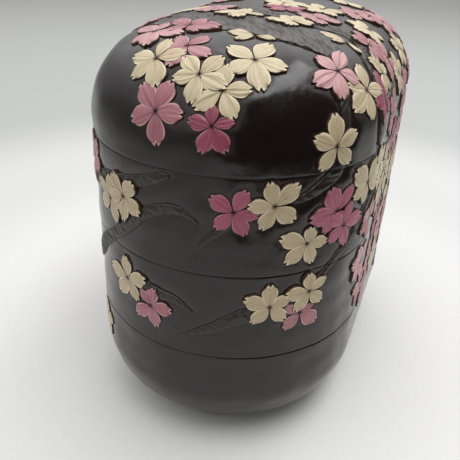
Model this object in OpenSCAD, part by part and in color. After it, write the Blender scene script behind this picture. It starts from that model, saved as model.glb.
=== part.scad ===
// Three-tier stacking lacquer box with a domed lid.
// The plan is an oval with straight long sides and half-round ends.
// Origin: centre of the resting face, +X along the length, +Z up.

/* [Outside] */
// Length over the two round ends
body_length = 233; // [200:1:260]
// Width across the straight sides
body_width = 150; // [130:1:160]
// Height of the lower tier's rim
lower_rim_z = 63; // [58:1:70]
// Height of the middle tier's rim
middle_rim_z = 111; // [105:1:118]
// Height of the upper tier's rim
upper_rim_z = 160; // [152:1:162]
// Height over the crown of the lid
total_height = 211.5; // [209:0.5:225]

/* [Rounding] */
// Radius between the side and the flat base of the lower tier
base_round = 40; // [30:1:45]
// Radius between the side and the crown of the lid
lid_round = 40; // [34:1:42]
// Radius of the lid's crown, across the width
crown_radius = 180; // [160:1:220]

/* [Walls] */
// Thickness of the carved walls, of the bowl and of the lid
wall = 8.5; // [7:0.5:10]
// Thickness of a let-in floor board
floor_board = 4; // [3:0.5:6]
// Depth of the hollow under the resting face
foot_hollow = 1.2; // [0.5:0.1:2]
// Width of the rim that the box rests on
foot_rim = 6; // [4:1:10]

/* [Rim joints] */
// Thickness of a standing lip
lip_wall = 2.5; // [2:0.1:3.5]
// How far a lip stands above its rim
lip_stand = 6; // [4:0.5:8]
// How deep a lip is seated in its wall
lip_seat = 9; // [6:0.5:12]
// Gap round a lip, inside the piece that sits on it
lip_gap = 0.3; // [0.2:0.05:0.5]
// Gap above a lip
lip_top_gap = 0.5; // [0.3:0.1:1]

/* [Hidden] */
$fn = 96;

half_width = body_width / 2;
half_straight = (body_length - body_width) / 2;

// Radii of the round ends, from the outside inwards
inner_r = half_width - wall;
seat_r = inner_r + lip_wall;
recess_r = seat_r + lip_gap;

// Depth of the recess under a piece that sits on a lip
recess_depth = lip_stand + lip_top_gap;

// Centre of the lid's side rounding, which meets the crown without a corner
round_r = half_width - lid_round;
crown_z = total_height - crown_radius;
lid_round_z = crown_z + sqrt(pow(crown_radius - lid_round, 2) - pow(round_r, 2));

// Where the side rounding meets the crown, as a share of the crown's radius
crown_edge = round_r / (crown_radius - lid_round);

// A small length that carries a cut past a face
cut = 1;

lacquer = [0.11, 0.075, 0.065];
inner_lacquer = [0.16, 0.05, 0.04];

// Flat oval with the end radius r
module oval(r) {
    for (side = [-1, 1])
        translate([side * half_straight, 0])
            circle(r = r);
    square([2 * half_straight, 2 * r], center = true);
}

// Oval block from the height z up
module oval_block(r, z, height) {
    translate([0, 0, z])
        linear_extrude(height = height)
            oval(r);
}

// Solid whose half section, drawn from the middle line outwards, runs all round the oval
module oval_sweep() {
    for (side = [-1, 1])
        translate([side * half_straight, 0, 0])
            rotate([0, 0, -side * 90])
                rotate_extrude(angle = 180)
                    children();
    for (turn = [0, 180])
        rotate([0, 0, turn])
            translate([-half_straight, 0, 0])
                rotate([90, 0, 90])
                    linear_extrude(height = 2 * half_straight)
                        children();
}

// Half section of the domed lid, with everything drawn in by the distance inset
module lid_section(inset, z) {
    corner_r = lid_round - inset;
    dome_r = crown_radius - inset;
    edge_r = dome_r * crown_edge;
    translate([0, z])
        square([half_width - inset, lid_round_z - z]);
    intersection() {
        translate([round_r, lid_round_z])
            circle(r = corner_r);
        translate([0, lid_round_z])
            square([half_width, lid_round]);
    }
    intersection() {
        translate([0, crown_z])
            circle(r = dome_r, $fn = 360);
        translate([0, lid_round_z])
            square([edge_r, total_height - lid_round_z]);
    }
}

// Half section of the bowl, with everything drawn in by the distance inset
module bowl_section(inset, top_z) {
    corner_r = base_round - inset;
    flat_r = half_width - base_round;
    translate([0, inset])
        square([flat_r, top_z - inset]);
    translate([0, base_round])
        square([half_width - inset, top_z - base_round]);
    intersection() {
        translate([flat_r, base_round])
            circle(r = corner_r);
        translate([flat_r, 0])
            square([base_round, base_round]);
    }
}

// Wall of a tier between two rims, recessed below for the next lip and the floor board
module tier_wall(bottom_z, top_z) {
    color(lacquer)
        difference() {
            oval_block(half_width, bottom_z, top_z - bottom_z);
            oval_block(inner_r, bottom_z - cut, top_z - bottom_z + 2 * cut);
            oval_block(recess_r, bottom_z - cut, cut + recess_depth + floor_board);
            oval_block(seat_r, top_z - lip_seat, lip_seat + cut);
        }
}

// Floor board, let into the wall from below
module tier_floor(bottom_z) {
    color(inner_lacquer)
        oval_block(recess_r, bottom_z + recess_depth, floor_board);
}

// Lip that stands above the rim and centres the piece above
module tier_lip(rim_z) {
    height = lip_seat + lip_stand;
    color(inner_lacquer)
        difference() {
            oval_block(seat_r, rim_z - lip_seat, height);
            oval_block(inner_r, rim_z - lip_seat - cut, height + 2 * cut);
        }
}

module lid() {
    color(lacquer)
        difference() {
            oval_sweep()
                lid_section(0, upper_rim_z);
            oval_sweep()
                lid_section(wall, upper_rim_z - cut);
            oval_block(recess_r, upper_rim_z - cut, cut + recess_depth);
        }
}

module lower_bowl() {
    color(lacquer)
        difference() {
            oval_sweep()
                bowl_section(0, lower_rim_z);
            oval_sweep()
                bowl_section(wall, lower_rim_z + cut);
            oval_block(seat_r, lower_rim_z - lip_seat, lip_seat + cut);
            oval_block(half_width - base_round - foot_rim, -cut, cut + foot_hollow);
        }
}

module upper_wall() tier_wall(middle_rim_z, upper_rim_z);
module upper_floor() tier_floor(middle_rim_z);
module upper_lip() tier_lip(upper_rim_z);
module middle_wall() tier_wall(lower_rim_z, middle_rim_z);
module middle_floor() tier_floor(lower_rim_z);
module middle_lip() tier_lip(middle_rim_z);
module lower_lip() tier_lip(lower_rim_z);

lid();
upper_wall();
upper_floor();
upper_lip();
middle_wall();
middle_floor();
middle_lip();
lower_bowl();
lower_lip();
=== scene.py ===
import math
from collections import namedtuple

import bmesh
import bpy
import numpy as np
from bpy.props import FloatProperty, FloatVectorProperty, PointerProperty
from bpy.types import Operator, Panel, PropertyGroup
from mathutils import Matrix, Quaternion, Vector
from mathutils.kdtree import KDTree


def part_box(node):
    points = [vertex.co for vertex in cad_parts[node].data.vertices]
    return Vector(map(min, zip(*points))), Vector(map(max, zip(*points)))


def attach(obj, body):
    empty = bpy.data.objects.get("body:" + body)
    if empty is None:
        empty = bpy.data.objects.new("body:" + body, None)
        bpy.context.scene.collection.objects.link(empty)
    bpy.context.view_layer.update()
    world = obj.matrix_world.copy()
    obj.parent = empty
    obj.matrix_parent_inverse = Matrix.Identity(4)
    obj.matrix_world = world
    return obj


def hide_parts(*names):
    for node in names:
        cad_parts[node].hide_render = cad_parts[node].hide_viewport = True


bl_info = {
    "name": "Carved Lacquer Stacking Box",
    "version": (1, 0, 0),
    "blender": (4, 5, 0),
    "location": "View3D > Sidebar > Carved Box",
    "description": "Carves and lacquers a three-tier oval box with blossoms and branches",
    "category": "Add Mesh",
}

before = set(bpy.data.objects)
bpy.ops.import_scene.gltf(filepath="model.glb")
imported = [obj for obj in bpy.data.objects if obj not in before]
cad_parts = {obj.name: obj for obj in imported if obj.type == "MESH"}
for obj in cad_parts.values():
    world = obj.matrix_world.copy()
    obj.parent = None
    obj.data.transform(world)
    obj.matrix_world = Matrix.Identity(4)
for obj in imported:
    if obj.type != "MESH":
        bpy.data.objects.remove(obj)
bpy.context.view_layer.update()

# Shapes are laid out in millimetres and shrunk to metres when a mesh is finished
MM = 0.001


def corners(node):
    """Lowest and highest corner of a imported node, in millimetres"""
    low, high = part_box(node)
    return [Vector([round(c / MM, 2) for c in corner]) for corner in (low, high)]


# Outside of the box, from the frame
LID_LOW, LID_HIGH = corners("lid")
HALF_WIDTH = LID_HIGH.y
HALF_STRAIGHT = LID_HIGH.x - HALF_WIDTH
TOP_Z = LID_HIGH.z
UPPER_RIM = LID_LOW.z
MIDDLE_RIM = corners("upper_wall")[0].z
LOWER_RIM = corners("middle_wall")[0].z

# Inside of a tier, from the frame
LIP_LOW, LIP_HIGH = corners("upper_lip")
FLOOR_LOW, FLOOR_HIGH = corners("upper_floor")
LIP_REACH = LIP_HIGH.y
LIP_DEPTH = UPPER_RIM - LIP_LOW.z
RECESS_REACH = FLOOR_HIGH.y
RECESS_DEPTH = FLOOR_LOW.z - MIDDLE_RIM
FLOOR_TOP = FLOOR_HIGH.z - MIDDLE_RIM

# Sizes of the construction that the boxes of the nodes don't show
WALL = 8.5
LID_ROUND = 40.0
CROWN_RADIUS = 180.0
BASE_ROUND = 40.0
FOOT_RIM = 6.0
FOOT_HOLLOW = 1.2

# Reach of the walls' inner face from the spine
INNER_REACH = HALF_WIDTH - WALL

# Section of the outside: wall, then the lid's rounding, then its crown
ROUND_REACH = HALF_WIDTH - LID_ROUND
BASE_REACH = HALF_WIDTH - BASE_ROUND
CROWN_Z = TOP_Z - CROWN_RADIUS
ROUND_Z = CROWN_Z + math.sqrt((CROWN_RADIUS - LID_ROUND) ** 2 - ROUND_REACH ** 2)
ROUND_TURN = math.acos(ROUND_REACH / (CROWN_RADIUS - LID_ROUND))
CROWN_UP = ROUND_Z + LID_ROUND * ROUND_TURN
TOP_UP = CROWN_UP + CROWN_RADIUS * (math.pi / 2 - ROUND_TURN)

# Outline of the outside: a quarter turn, and half of the way round
QUARTER = HALF_WIDTH * math.pi / 2
HALF_WAY = 2 * QUARTER + 2 * HALF_STRAIGHT

# Bodies from the bottom up, and the slice of height that each one holds
SLICES = {
    "lower_tier": (-math.inf, LOWER_RIM),
    "middle_tier": (LOWER_RIM, MIDDLE_RIM),
    "upper_tier": (MIDDLE_RIM, UPPER_RIM),
    "lid": (UPPER_RIM, math.inf),
}
# Clearance that the relief keeps from a seam
SEAM_GAP = 0.15


# A place on the outside is (around, up): millimetres round the outline from the middle of the
# -X end, towards -Y, and millimetres up the section. On the lid's top it is a plan place (x, y).

class Place:
    """A point of the plain outside, with two directions along the surface there"""

    def __init__(self, first, second, on_top=False):
        if on_top:
            point = top_point(first, second)
        else:
            point = wall_point(np.array([first]), np.array([second]))[0]
        self.point, normal = (found[0] for found in settle(point[None, :]))
        forward = np.array([1.0, 0.0, 0.0]) if on_top else np.cross([0.0, 0.0, 1.0], normal)
        forward -= normal * np.dot(forward, normal)
        self.ahead = forward / np.linalg.norm(forward)
        self.aside = np.cross(normal, self.ahead)


def hubs(parts, z):
    """Radius, reach and height of the hub behind points of the crown, of a rounding or of the wall"""
    radius = np.select(parts, [CROWN_RADIUS, LID_ROUND, BASE_ROUND], HALF_WIDTH)
    hub_reach = np.select(parts, [0.0, ROUND_REACH, BASE_REACH], 0.0)
    hub_z = np.select(parts, [CROWN_Z, ROUND_Z, BASE_ROUND], z)
    return radius, hub_reach, hub_z


def section(up, inset=0.0):
    """Reach from the spine, height and lean of the skin at a distance up its section"""
    crown = up > CROWN_UP
    parts = [crown, (up > ROUND_Z) & ~crown, up < BASE_ROUND]
    crown_lean = ROUND_TURN + (up - CROWN_UP) / CROWN_RADIUS
    round_lean = (up - ROUND_Z) / LID_ROUND
    base_lean = np.maximum((up - BASE_ROUND) / BASE_ROUND, -math.pi / 2)
    lean = np.select(parts, [crown_lean, round_lean, base_lean], 0.0)
    radius, hub_reach, hub_z = hubs(parts, up)
    return hub_reach + (radius - inset) * np.cos(lean), hub_z + (radius - inset) * np.sin(lean), lean


def oval(around, reach):
    """Plan position and outward direction at a distance round the outline"""
    way = np.abs(around)
    near = np.minimum(way, QUARTER) / HALF_WIDTH
    far = np.maximum(way - QUARTER - 2 * HALF_STRAIGHT, 0.0) / HALF_WIDTH
    straight = np.clip(way - QUARTER, 0.0, 2 * HALF_STRAIGHT) - HALF_STRAIGHT
    out_x = -np.cos(near + far)
    out_y = -np.sign(around) * np.sin(near + far)
    return straight + reach * out_x, reach * out_y, out_x, out_y


def wall_point(around, up):
    """Points of the plain outside at (around, up)"""
    reach, height, lean = section(up)
    x, y, out_x, out_y = oval(around, reach)
    return np.stack([x, y, height], axis=-1)


def top_point(x, y):
    """Point of the lid's plain outside over the plan place (x, y)"""
    spine = np.clip(x, -HALF_STRAIGHT, HALF_STRAIGHT)
    reach = math.hypot(x - spine, y)
    if reach < CROWN_RADIUS * math.cos(ROUND_TURN):
        return np.array([x, y, CROWN_Z + math.sqrt(CROWN_RADIUS ** 2 - reach ** 2)])
    return np.array([x, y, ROUND_Z + math.sqrt(max(LID_ROUND ** 2 - (reach - ROUND_REACH) ** 2, 0.0))])


def outward(out_x, out_y, lean):
    """Normals of the skin, from their plan direction and their lean"""
    return np.stack([out_x * np.cos(lean), out_y * np.cos(lean), np.sin(lean)], axis=-1)


def settle(points):
    """Nearest points of the plain outside, and the outward normals there"""
    x, y, z = points[:, 0], points[:, 1], points[:, 2]
    spine = np.clip(x, -HALF_STRAIGHT, HALF_STRAIGHT)
    reach = np.maximum(np.hypot(x - spine, y), 1e-9)
    out_x, out_y = (x - spine) / reach, y / reach
    crown_lean = np.arctan2(z - CROWN_Z, reach)
    round_lean = np.arctan2(z - ROUND_Z, reach - ROUND_REACH)
    base_lean = np.arctan2(z - BASE_ROUND, reach - BASE_REACH)
    crown = crown_lean > ROUND_TURN
    parts = [crown, (z > ROUND_Z) & ~crown, z < BASE_ROUND]
    lean = np.select(parts, [crown_lean, round_lean, base_lean], 0.0)
    radius, hub_reach, hub_z = hubs(parts, z)
    foot_reach = hub_reach + radius * np.cos(lean)
    foot_z = hub_z + radius * np.sin(lean)
    feet = np.stack([spine + out_x * foot_reach, out_y * foot_reach, foot_z], axis=-1)
    return feet, outward(out_x, out_y, lean)


def ease(share):
    """Smooth step of a share kept between 0 and 1"""
    share = np.clip(share, 0.0, 1.0)
    return share * share * (3 - 2 * share)


def search_tree(groups):
    """Search tree of the points in some arrays, numbered in their order"""
    points = np.concatenate(groups)
    tree = KDTree(len(points))
    for index, point in enumerate(points):
        tree.insert(point, index)
    tree.balance()
    return tree


def coordinates(verts):
    """Coordinates of some vertices"""
    return np.array([vert.co[:] for vert in verts])


def grid_steps(values, count):
    """Whole steps along a fresh grid, whose coordinates run from -1 to 1"""
    return np.rint((values + 1) / 2 * count).astype(int)


# Petals

# Stations of a petal across (-1 to 1) and along (0 at the flower's middle, 1 at the tip)
PETAL_ACROSS = (-1.0, -0.72, -0.36, 0.0, 0.36, 0.72, 1.0)
PETAL_ALONG = (0.03, 0.13, 0.28, 0.44, 0.60, 0.76, 0.90, 1.0)
# Half width at each station along, as a share of the full half width
PETAL_HALF = (0.05, 0.28, 0.64, 0.90, 1.0, 0.96, 0.78, 0.55)
# How far the tip reaches at each station across: two lobes with a notch between them
PETAL_TIP = (0.85, 0.94, 1.0, 0.86, 1.0, 0.94, 0.85)
# Rise of the carved top over the petal's rim at each station across and along, as shares of the swell
SWELL_ACROSS = (0.0, 0.8, 1.0, 0.36, 1.0, 0.8, 0.0)
SWELL_ALONG = (-0.6, 0.1, 0.7, 1.0, 1.0, 0.85, 0.5, 0.1)
# Swell of the flatter petals below the lid, as a share of the lid's
TIER_SWELL = 0.8
# Full width of a petal, as a share of its length
PETAL_WIDTH = 0.60
# How far a petal's foot spreads, as a share of the width of its slanted edge
FOOT_SPREAD = 1.2
# How far petals differ from one another in width, tint, bend, tilt and the height of their ridges
WIDTH_PLAY = 0.05
TINT_PLAY = 0.12
BEND_PLAY = 0.05
TILT_PLAY = 0.08
RIDGE_PLAY = 0.28


class Petal:
    """One carved petal: where its flower sits, where it points and how high it stands"""

    def __init__(self, place, level, tint_and_shade, draw, direction, length, share=1.0):
        turn = math.radians(direction)
        self.root = place.point
        self.along = place.ahead * math.cos(turn) + place.aside * math.sin(turn)
        self.across = place.aside * math.cos(turn) - place.ahead * math.sin(turn)
        self.length = length
        self.width = PETAL_WIDTH * length * share * draw.uniform(1 - WIDTH_PLAY, 1 + WIDTH_PLAY)
        self.level = level
        self.tint_and_shade = tint_and_shade + draw.uniform(-TINT_PLAY, TINT_PLAY)
        self.bend = draw.uniform(-BEND_PLAY, BEND_PLAY)
        self.tilt = draw.uniform(-TILT_PLAY, TILT_PLAY)
        self.swell = 1.0 if place.point[2] > UPPER_RIM else TIER_SWELL
        self.ridges = np.array(SWELL_ACROSS)
        self.ridges[1:-1] += draw.uniform(-RIDGE_PLAY, RIDGE_PLAY, size=len(SWELL_ACROSS) - 2)

    def spots(self, along, across):
        """Points over the petal, on the plain outside, and the normals there"""
        ahead = self.length * along
        aside = self.width / 2 * across + self.bend * self.length * along ** 2
        return settle(self.root + np.outer(ahead, self.along) + np.outer(aside, self.across))

    def rim(self):
        """Points all round the petal's rim"""
        along = np.array(PETAL_ALONG)
        across = np.concatenate([np.full(len(along), -1.0), np.full(len(along), 1.0), PETAL_ACROSS[1:-1]])
        along = np.concatenate([along, along, np.full(len(PETAL_ACROSS) - 2, 1.0)])
        return self.spots(*petal_outline(along, across))[0]


def petal_outline(along, across):
    """Shares of a petal's length and half width at its stations"""
    tip = np.interp(across, PETAL_ACROSS, PETAL_TIP)
    return along * (1 + (tip - 1) * along ** 2), across * np.interp(along, PETAL_ALONG, PETAL_HALF)


def petal_pattern():
    """Grid of one petal: x is across, y is along, z is 0 on top, -1 under the slanted edge, -2 at the foot"""
    bm = bmesh.new()
    bmesh.ops.create_grid(bm, x_segments=len(PETAL_ACROSS) - 1, y_segments=len(PETAL_ALONG) - 1, size=1)
    for edge in bm.edges:
        edge.smooth = not edge.is_boundary
    for ring in range(2):
        skirt = bmesh.ops.extrude_edge_only(bm, edges=[edge for edge in bm.edges if edge.is_boundary])["geom"]
        ring_verts = [part for part in skirt if isinstance(part, bmesh.types.BMVert)]
        bmesh.ops.translate(bm, verts=ring_verts, vec=(0, 0, -1))
    bmesh.ops.contextual_create(bm, geom=[edge for edge in bm.edges if edge.is_boundary])
    for face in bm.faces:
        face.smooth = True
        face.material_index = int(any(vert.co.z < -0.5 for vert in face.verts))
    bmesh.ops.recalc_face_normals(bm, faces=bm.faces[:])
    mesh = bpy.data.meshes.new("petal_pattern")
    bm.to_mesh(mesh)
    bm.free()
    return mesh


def pattern_stations(mesh):
    """Across, along and ring of every vertex of the grid: 0 on top, 1 under the edge, 2 at the foot"""
    grid = coordinates(mesh.vertices)
    across = np.interp(grid[:, 0], np.linspace(-1, 1, len(PETAL_ACROSS)), PETAL_ACROSS)
    along = np.interp(grid[:, 1], np.linspace(-1, 1, len(PETAL_ALONG)), PETAL_ALONG)
    return across, along, np.rint(-grid[:, 2])


def shape_petal(petal, stations, sizes, ridges):
    """Vertex positions of one petal, raised where it lies over a branch"""
    across, along, ring = stations
    ahead, aside = petal_outline(along, across)
    edge = sizes.petal_edge / MM
    spread = np.interp(ring, (0, 1, 2), (0.0, edge, FOOT_SPREAD * edge))
    feet, normals = petal.spots(ahead * (1 + spread / petal.length), aside * (1 + 2 * spread / petal.width))
    swell = np.interp(across, PETAL_ACROSS, petal.ridges) * np.interp(along, PETAL_ALONG, SWELL_ALONG)
    swell = swell * petal.swell * sizes.petal_swell / MM
    rim = (sizes.petal_height + petal.level * sizes.level_step) / MM
    tops = rim + swell + petal.tilt * across + over_branches(feet, ridges.tree, ridges.tops)
    height = np.choose(ring.astype(int), (tops, tops - edge, -sizes.petal_root / MM))
    return feet + normals * height[:, None]


def join_petals(pattern, stations, shapes):
    """Mesh of some shaped petals, with each vertex's stations and its petal's tint, which holds painted shade
    too, kept on it
    """
    across, along, ring = stations
    bm = bmesh.new()
    for shape in shapes:
        bm.from_mesh(pattern)
    layer = bm.verts.layers.float_vector.new("petal")
    points = np.concatenate([points for petal, points in shapes])
    tints_and_shade = np.repeat([petal.tint_and_shade for petal, points in shapes], len(across))
    marks = np.stack([np.tile(across, len(shapes)), np.tile(along, len(shapes)), tints_and_shade], axis=-1)
    for vert, point, mark in zip(bm.verts, points, marks):
        vert.co = point
        vert[layer] = mark
    return bm


def blossom(colour, level, place, petals, draw, tint_and_shade):
    """Petals of one flower, kept with their colour"""
    return [(colour, Petal(place, level, tint_and_shade, draw, *petal)) for petal in petals]


# Blossoms that the photograph shows: colour, level, place, each petal's direction and length, and tint, which
# also holds painted shade: the flowers on the tiers' upright walls are given deeper tints than those on the
# lid.
# A third number of a petal is its width, as a share of the usual one.
# Directions turn from "around" towards "up" on the walls, and from +X towards +Y on the top.
WALL_BLOSSOMS = [
    # Lid, above the end
    ("pink", 0, (-12, 184),
     [(76, 14.5, 1.15), (137, 15.5), (202, 13.5, 1.06), (283, 15), (2, 13, 1.1)], 0.75),
    ("rose", 0, (14.5, 181.5), [(19, 9.5, 0.85), (96, 9), (173, 10.5, 1.1), (251, 12.5), (304, 12.5)], 0.6),
    ("cream", 1.6, (4.5, 202), [(56, 13.5), (137, 13), (197, 11.5), (268, 13.5), (345, 13.5)], 0.5),
    ("cream", 0.5, (17.5, 196), [(11, 12), (91, 13.5), (150, 12), (215, 14), (296, 13, 1.1)], 0.5),
    ("cream", 1.3, (69.5, 171.5), [(22, 13, 0.92), (94, 14.5), (157, 13), (229, 12.5), (313, 12.5)], 0.8),
    ("cream", 0, (96.5, 191),
     [(68, 14, 1.05), (159, 13.5, 0.85), (204, 16), (263, 14), (349, 15, 0.85)], 0.6),
    # Lid, towards the flowered side
    ("rose", 0, (116, 182.5), [(40, 12), (95, 15), (171, 14.5), (225, 13.5), (325, 12)], 0.6),
    ("cream", 0.8, (129, 192), [(11, 9.5), (82, 12.5), (135, 14.5), (215, 12.5), (290, 10)], 0.5),
    ("pink", 0.3, (154, 194), [(53, 13.5), (128, 13.5), (172, 12), (220, 14.5), (318, 12.5)], 0.4),
    ("cream", 0.8, (166, 183), [(15, 12.5), (88, 13), (160, 12.5), (232, 12.5), (304, 12.5)], 0.5),
    ("cream", 0.4, (194, 192), [(5, 13), (75, 12.5), (150, 13), (222, 12.5), (290, 12.5)], 0.5),
    # Upper tier
    ("rose", 0, (25, 144.5), [(62, 12), (147, 12.5), (226, 11.5), (299, 12.5), (349, 11.5, 0.8)], 0.3),
    ("cream", 0.9, (42.5, 147.5), [(43, 14.5), (106, 12), (177, 12), (245, 12.5), (319, 12.5, 1.15)], 0.85),
    ("cream", 0, (60, 126.5), [(76, 8.5, 1.35), (160, 15), (223, 14), (289, 12), (356, 11.5)], 0.8),
    ("rose", 1.2, (80.5, 131), [(5, 14.5, 0.9), (71, 12, 0.85), (144, 12), (217, 11.5), (285, 12)], 0),
    ("rose", 0.3, (75, 139.5), [(48, 14.5, 0.85), (117, 14, 1.15), (186, 15.5), (233, 12), (310, 11)], 0.3),
    ("cream", 0.9, (97, 147.5), [(59, 13), (144, 16, 1.1), (203, 13), (258, 11), (344, 14.5)], 0.7),
    ("cream", 0.9, (-31, 140), [(48, 12.5), (127, 12.5), (195, 12.5), (272, 13), (335, 13)], 0.9),
    ("cream", 0, (-43.5, 134.5), [(0, 11), (82, 13), (151, 13.5), (214, 13), (300, 13)], 0.9),
    ("pink", 0, (-65, 149), [(337, 12), (45, 12), (115, 12), (190, 12.5), (263, 12)], 0.5),
    ("pink", 0.4, (109, 124), [(150, 12), (205, 12), (265, 11.5), (20, 12), (85, 12)], 0.5),
    # Middle tier
    ("cream", 0.5, (-31.5, 94.5), [(17, 14.5), (93, 12.5), (177, 16), (242, 14), (307, 13)], 0.85),
    ("pink", 0, (-16, 85), [(4, 13), (78, 12), (126, 10), (223, 13.5), (290, 12.5)], 0.8),
    ("cream", 0.5, (44, 94.5), [(24, 10.5), (93, 12.5, 1.05), (161, 13.5), (227, 12.5), (314, 12.5)], 0.8),
    ("cream", 1.4, (64, 99.5), [(33, 11, 0.9), (97, 10.5, 1.1), (176, 13), (236, 12.5), (314, 11.5)], 0.8),
    ("pink", -0.4, (60.5, 87.5), [(20, 8.5, 0.8), (85, 9), (145, 10.5), (224, 12), (320, 13.5, 1.1)], 0.6),
    ("pink", 0, (108, 98), [(118, 12.5), (168, 13), (225, 12.5), (290, 12), (45, 12)], -0.2),
    ("pink", 0, (115, 79), [(100, 12), (172, 12.5), (238, 12.5), (310, 12), (30, 12)], 0.4),
    # Lower tier, round the corner on the left
    ("cream", 0, (-66, 49), [(12, 12), (84, 12), (155, 12), (228, 12), (300, 12)], 0.6),
]
TOP_BLOSSOMS = [
    ("cream", 0.9, (-95.5, 19), [(354, 15, 0.8), (76, 14), (128, 14), (194, 16), (281, 13.5)], 0.6),
    ("cream", 1.2, (-89, -22.5), [(356, 15.5), (74, 15), (148, 13), (213, 16.5), (279, 14)], 0.4),
    ("pink", 0, (-87.5, 8.5), [(44, 12.5, 0.85), (100, 13), (165, 15), (242, 14), (333, 12.5)], 0.55),
    ("pink", 0.5, (-71.5, 32.5), [(46, 16), (139, 12.5), (187, 15.5), (255, 17), (355, 12)], 0.2),
    ("pink", 1.1, (-65.5, 17.5), [(50, 14), (130, 12), (217, 10.5), (266, 15.5), (325, 10)], 0.6),
    ("cream", 0.8, (-34, 5), [(0, 13), (60, 12), (117, 12.5), (190, 15), (270, 12.5)], 0.4),
    ("pink", 0.7, (-17, 26), [(15, 13), (85, 12.5), (160, 13), (230, 13), (300, 13)], 0.4),
    ("cream", 0, (-8, 45), [(0, 13), (72, 13), (144, 13), (216, 13), (288, 13)], 0.4),
    ("cream", 1.1, (-34.5, -23), [(0, 11), (61, 9.5), (133, 14.5), (183, 12.5), (297, 10)], 0.4),
    ("pink", 0.6, (-12.5, -30.5), [(10, 13), (85, 12.5), (145, 12.5), (195, 14), (308, 13)], 0.5),
    ("rose", 0.3, (-1.5, -9), [(20, 12.5), (92, 12), (164, 12.5), (236, 12.5), (308, 12)], 0.3),
    ("cream", 1.1, (10.5, -5), [(5, 13), (77, 12.5), (150, 13), (222, 13), (294, 12.5)], 0.4),
    ("cream", 0.8, (14, -25.5), [(35, 13), (105, 12.5), (165, 14), (228, 13), (300, 13)], 0.4),
    ("pink", 0.3, (31, -41.5), [(60, 12.5), (128, 11.5), (186, 14), (266, 11), (348, 14)], 0.4),
    ("cream", 0.9, (58, -30), [(20, 13), (92, 13), (164, 13), (236, 13), (308, 13)], 0.4),
    ("cream", 0.9, (6.5, -53), [(53, 11), (106, 13.5), (160, 14), (222, 13.5), (290, 10.5)], 0.4),
    ("pink", 0.9, (-70.5, -53), [(21, 15.5, 0.85), (91, 11.5), (170, 15.5), (227, 13.5), (308, 13)], -0.2),
    # Two flowers whose far halves lie under the branches
    ("cream", -0.6, (-68, -15), [(93, 12.5, 0.8), (138, 10, 0.75), (275, 9.5, 0.75)], 0.5),
    ("cream", -0.6, (-36.5, -49.5), [(98, 13.5, 0.8), (148, 9.5, 0.75), (259, 9.5, 0.75)], 0.5),
]

# Flowers that the photograph doesn't show apart, strewn over patches of the outside.
# A patch is (around from, around to, up from, up to, flowers, spacing).
PATCHES = [
    (112, 236, 66, 157, 62, 17.5),
    (118, 232, 166, 232, 40, 17.5),
    (238, 318, 70, 240, 34, 24.0),
    (-318, -250, 70, 235, 22, 25.0),
    (-250, -165, 165, 240, 20, 21.0),
    (-235, -120, 76, 156, 18, 26.0),
    (-160, -95, 170, 215, 5, 25.0),
    (-180, -100, 35, 56, 3, 30.0),
    (200, 280, 38, 56, 3, 30.0),
]
STREWN_COLOURS = ("cream", "cream", "cream", "pink", "pink", "rose")
# Distance within which two flowers overlap, the levels that strewn ones choose from, and how far
# apart the levels of two that overlap have to be
FLOWER_SPAN = 25.0
STREWN_LEVELS = (0.0, 0.65, 1.3)
LEVEL_GAP = 0.45
# Places tried for each flower of a patch
PLACE_TRIES = 30
# Range of a strewn flower's petal lengths and tints
STREWN_LENGTHS = (12.0, 13.6)
STREWN_TINTS = (0.2, 0.8)
# Petals of a flower, and how far each strays from its even direction in degrees and from the length
PETALS = 5
PETAL_TURN = 360 / PETALS
DIRECTION_PLAY = 6.0
LENGTH_PLAY = 0.08


def lay_blossoms():
    """All petals of the box, each with its colour"""
    draw = np.random.default_rng(11)
    petals = []
    middles = []
    for on_top, blossoms in ((False, WALL_BLOSSOMS), (True, TOP_BLOSSOMS)):
        for colour, level, (first, second), directions, tint_and_shade in blossoms:
            place = Place(first, second, on_top)
            petals += blossom(colour, level, place, directions, draw, tint_and_shade)
            middles.append((place.point, level))
    for patch in PATCHES:
        petals += strew(patch, middles, draw)
    return petals


def strew(patch, middles, draw):
    """Petals of the flowers strewn over one patch"""
    around_from, around_to, up_from, up_to, count, spacing = patch
    petals = []
    laid = 0
    for attempt in range(count * PLACE_TRIES):
        if laid == count:
            break
        place = Place(draw.uniform(around_from, around_to), draw.uniform(up_from, up_to))
        gaps = [np.linalg.norm(place.point - middle) for middle, level in middles]
        if min(gaps) < spacing:
            continue
        taken = {level for (middle, level), gap in zip(middles, gaps) if gap < FLOWER_SPAN}
        free = [level for level in STREWN_LEVELS if all(abs(level - other) > LEVEL_GAP for other in taken)]
        if not free:
            continue
        turn = draw.uniform(0, PETAL_TURN)
        length = draw.uniform(*STREWN_LENGTHS)
        directions = []
        for k in range(PETALS):
            direction = turn + PETAL_TURN * k + draw.uniform(-DIRECTION_PLAY, DIRECTION_PLAY)
            directions.append((direction, length * draw.uniform(1 - LENGTH_PLAY, 1 + LENGTH_PLAY)))
        colour = STREWN_COLOURS[draw.integers(len(STREWN_COLOURS))]
        petals += blossom(colour, free[0], place, directions, draw, draw.uniform(*STREWN_TINTS))
        middles.append((place.point, free[0]))
        laid += 1
    return petals


# Branches

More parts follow.
